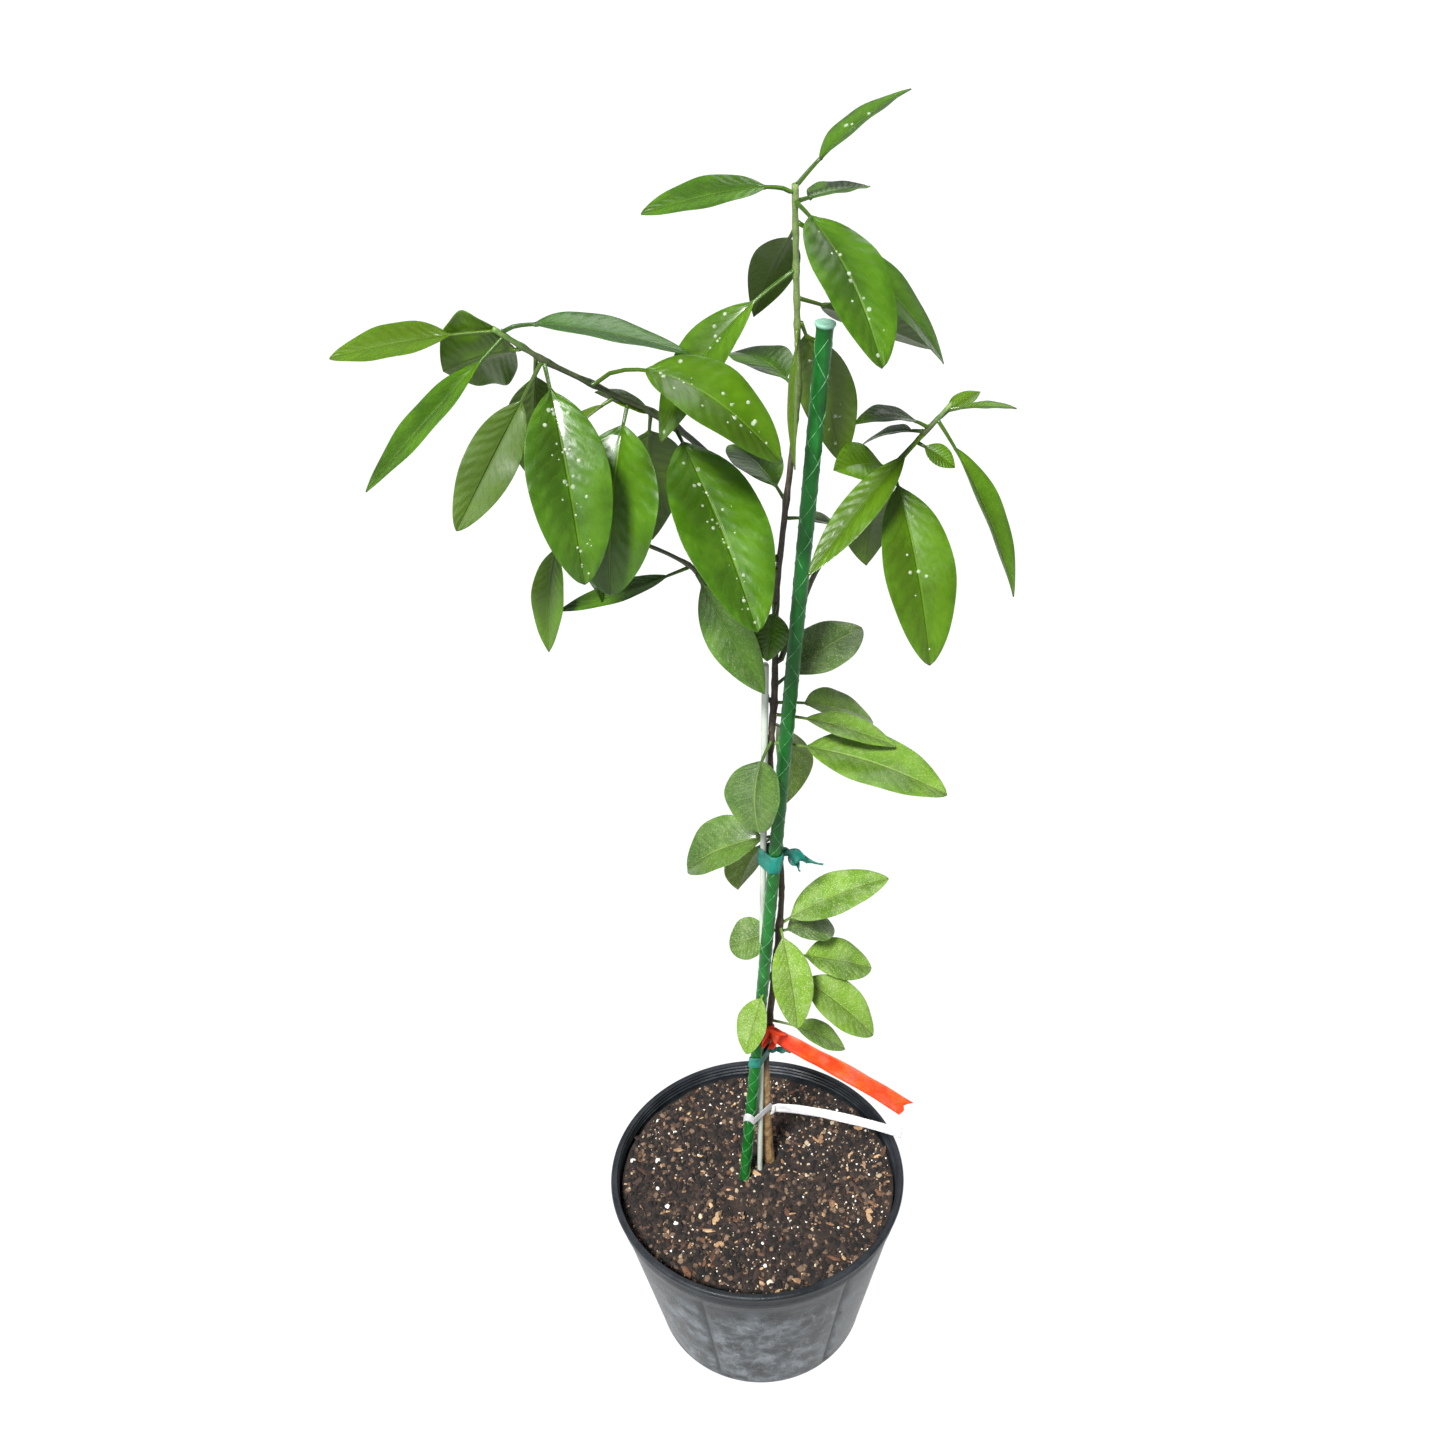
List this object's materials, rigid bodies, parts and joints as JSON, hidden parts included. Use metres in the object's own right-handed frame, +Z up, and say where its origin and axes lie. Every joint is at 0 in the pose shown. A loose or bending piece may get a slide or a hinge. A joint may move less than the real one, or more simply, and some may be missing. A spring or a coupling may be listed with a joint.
{
  "type": "potted citrus tree",
  "caption": "Young tangelo tree with drooping glossy leaves, tied to a green stake and a white rod in a round black nursery pot, with orange tape and a blank wrap label.",
  "frame": {"origin": "centre of the underside of the pot", "axes": "+Z up out of the pot; the tree leans towards +X and -Y, and -Y faces the viewer"},
  "size_m": [0.384, 0.3051, 1.1279],
  "materials": {
    "pot_plastic": "black polyethylene, greyed with dust and scuffs",
    "soil": "peat and bark potting mix with perlite",
    "stake_green": "green coating with a raised lattice",
    "rod_white": "smooth glass-fibre rod",
    "bark": "tan flaking bark at the foot, dark brown above, green at the top",
    "green_wood": "dark young twig",
    "leaf_young": "glossy waxy leaf",
    "leaf_old": "dull leaf with pale specks",
    "tie_teal": "soft vinyl tie",
    "tape_orange": "vinyl marking tape",
    "label_white": "coated wrap label, blank"
  },
  "bodies": {
    "root": {"branch_left": "green_wood", "branch_low": "green_wood", "branch_right": "green_wood", "leaf_left_01": "leaf_young", "leaf_left_02": "leaf_young", "leaf_left_03": "leaf_young", "leaf_left_04": "leaf_young", "leaf_left_05": "leaf_young", "leaf_left_06": "leaf_young", "leaf_left_07": "leaf_young", "leaf_left_08": "leaf_young", "leaf_left_09": "leaf_young", "leaf_left_10": "leaf_young", "leaf_low_01": "leaf_young", "leaf_low_02": "leaf_young", "leaf_low_03": "leaf_young", "leaf_right_01": "leaf_young", "leaf_right_02": "leaf_young", "leaf_right_03": "leaf_young", "leaf_right_04": "leaf_young", "leaf_right_05": "leaf_young", "leaf_right_06": "leaf_young", "leaf_right_07": "leaf_young", "leaf_stem_01": "leaf_young", "leaf_stem_02": "leaf_young", "leaf_stem_03": "leaf_young", "leaf_stem_04": "leaf_young", "leaf_stem_05": "leaf_young", "leaf_stem_06": "leaf_young", "leaf_stem_07": "leaf_young", "leaf_stem_08": "leaf_young", "leaf_stem_09": "leaf_young", "leaf_stem_10": "leaf_young", "leaf_stem_11": "leaf_young", "leaf_stem_12": "leaf_young", "leaf_stem_13": "leaf_old", "leaf_stem_14": "leaf_old", "leaf_stem_15": "leaf_old", "leaf_stem_16": "leaf_old", "leaf_stem_17": "leaf_old", "leaf_stem_18": "leaf_old", "leaf_stem_19": "leaf_old", "leaf_stem_20": "leaf_old", "leaf_stem_21": "leaf_old", "leaf_stem_22": "leaf_old", "leaf_stem_23": "leaf_old", "leaf_stem_24": "leaf_old", "leaf_stem_25": "leaf_old", "leaf_stem_26": "leaf_old", "leaf_stem_27": "leaf_old", "leaf_stem_28": "leaf_old", "marking_tape": "tape_orange", "pot": "pot_plastic", "rod": "rod_white", "soil": "soil", "stake": "stake_green", "stem": "bark", "tie_lower": "tie_teal", "tie_upper": "tie_teal", "wrap_label": "label_white"}
  },
  "joints": []
}
